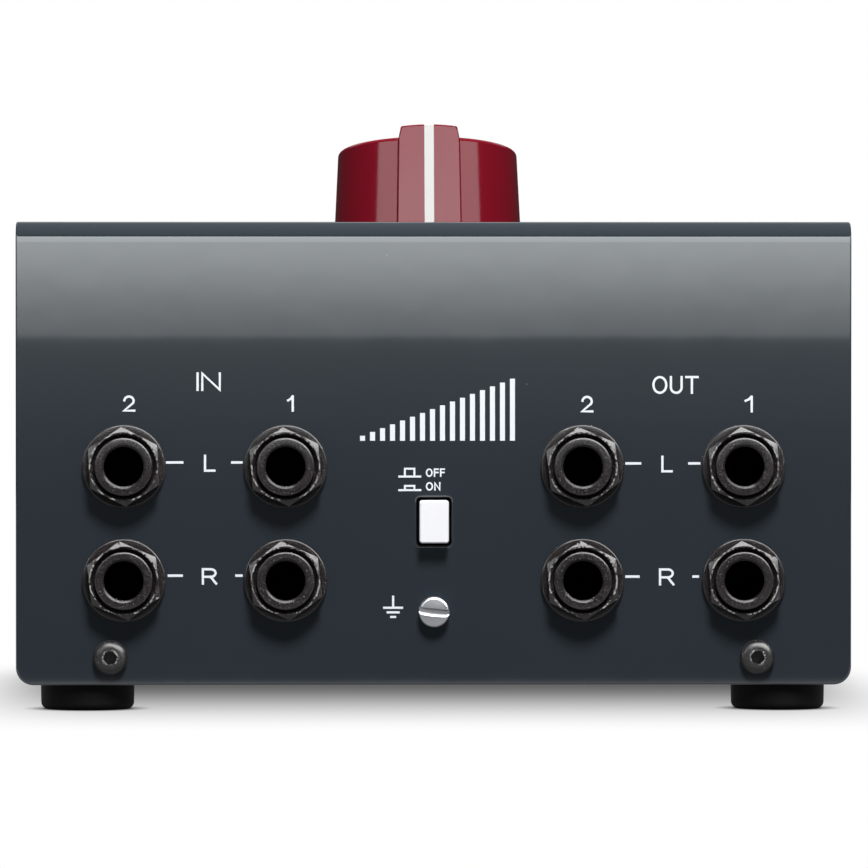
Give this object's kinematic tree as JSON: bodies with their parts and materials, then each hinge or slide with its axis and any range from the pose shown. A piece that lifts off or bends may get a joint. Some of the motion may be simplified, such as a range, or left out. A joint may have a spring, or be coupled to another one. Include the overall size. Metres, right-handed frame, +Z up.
{
  "type": "studio monitor controller",
  "caption": "Wedge-shaped desktop monitor controller: stepped volume knob on a sloped deck, quarter-inch jacks, earth screw and latching button on the rear panel.",
  "frame": {"origin": "under the middle of the outer box, on the plane that the rubber feet stand on", "axes": "+Z up, +Y out of the rear panel with the jacks, -Y towards the user, +X to the user's right"},
  "size_m": [0.138, 0.1352, 0.0981],
  "materials": {
    "slate_paint": "satin-gloss slate blue-grey paint",
    "black_steel": "black oxide steel",
    "zinc_steel": "bright zinc plate",
    "cast_zinc": "die-cast, satin",
    "brass": "plain brass and bronze",
    "rubber": "black moulded rubber",
    "jack_plastic": "brown-black moulded nylon, fine grain",
    "board_green": "solder mask on glass laminate",
    "switch_plastic": "black moulded plastic",
    "white_plastic": "white moulded plastic",
    "red_plastic": "deep red moulded plastic, gloss",
    "ribbon_grey": "grey PVC ribbon",
    "wafer_laminate": "phenolic laminate",
    "resistor_film": "thick-film chips"
  },
  "bodies": {
    "chassis": {"wrap_cover": "slate_paint", "base_tray": "slate_paint", "rear_cover_screws": "black_steel", "front_cover_screws": "black_steel", "foot_screws": "zinc_steel", "foot_nuts": "zinc_steel", "ground_screw": "zinc_steel", "ground_lug": "zinc_steel", "ground_lock_washer": "zinc_steel", "ground_nut": "zinc_steel", "deck_board_screws": "zinc_steel", "tie_screws": "zinc_steel", "wafer_spacers": "zinc_steel", "bushing_washer": "zinc_steel", "bushing_nut": "zinc_steel", "detent_balls": "zinc_steel", "detent_springs": "zinc_steel", "deck_standoffs": "zinc_steel", "index_housing": "cast_zinc", "index_plate": "cast_zinc", "jack_tip_contacts": "brass", "jack_ring_contacts": "brass", "jack_sleeve_contacts": "brass", "wafer_pins": "brass", "rubber_feet": "rubber", "input_jack_2_left": "jack_plastic", "input_jack_2_right": "jack_plastic", "input_jack_1_left": "jack_plastic", "input_jack_1_right": "jack_plastic", "output_jack_2_left": "jack_plastic", "output_jack_2_right": "jack_plastic", "output_jack_1_left": "jack_plastic", "output_jack_1_right": "jack_plastic", "jack_ring_nuts": "jack_plastic", "rear_board": "board_green", "deck_board": "board_green", "rear_switch_body": "switch_plastic", "selector_switch_bodies": "switch_plastic", "ribbon_sockets": "switch_plastic", "ribbon_cable": "ribbon_grey", "wafer_stators": "wafer_laminate", "attenuator_resistors": "resistor_film"},
    "volume": {"knob_body": "red_plastic", "pointer_inlay": "white_plastic", "knob_insert": "brass", "knob_grub_screw": "zinc_steel", "volume_shaft": "zinc_steel", "detent_wheel": "switch_plastic", "wafer_rotors": "switch_plastic"},
    "rear_button": {"rear_button_cap": "white_plastic", "rear_switch_plunger": "switch_plastic"},
    "selector_1": {"selector_cap_1": "white_plastic", "selector_plunger_1": "switch_plastic"},
    "selector_2": {"selector_cap_2": "white_plastic", "selector_plunger_2": "switch_plastic"},
    "selector_3": {"selector_cap_3": "white_plastic", "selector_plunger_3": "switch_plastic"},
    "selector_4": {"selector_cap_4": "white_plastic", "selector_plunger_4": "switch_plastic"}
  },
  "joints": [
    {"name": "volume_turn", "type": "hinge", "parent": "chassis", "child": "volume", "pos_m": [0, 0.01008, 0.07193], "axis": [0, -0.1736, 0.9848], "range_deg": [-150, 150]},
    {"name": "rear_button_push", "type": "slide", "parent": "chassis", "child": "rear_button", "axis": [0, -1, 0], "range_m": [0, 0.002], "stiffness_N_per_m": 250, "springref_m": -0.004},
    {"name": "selector_1_push", "type": "slide", "parent": "chassis", "child": "selector_1", "axis": [0, 0.1736, -0.9848], "range_m": [0, 0.002], "stiffness_N_per_m": 250, "springref_m": -0.004},
    {"name": "selector_2_push", "type": "slide", "parent": "chassis", "child": "selector_2", "axis": [0, 0.1736, -0.9848], "range_m": [0, 0.002], "stiffness_N_per_m": 250, "springref_m": -0.004},
    {"name": "selector_3_push", "type": "slide", "parent": "chassis", "child": "selector_3", "axis": [0, 0.1736, -0.9848], "range_m": [0, 0.002], "stiffness_N_per_m": 250, "springref_m": -0.004},
    {"name": "selector_4_push", "type": "slide", "parent": "chassis", "child": "selector_4", "axis": [0, 0.1736, -0.9848], "range_m": [0, 0.002], "stiffness_N_per_m": 250, "springref_m": -0.004}
  ]
}
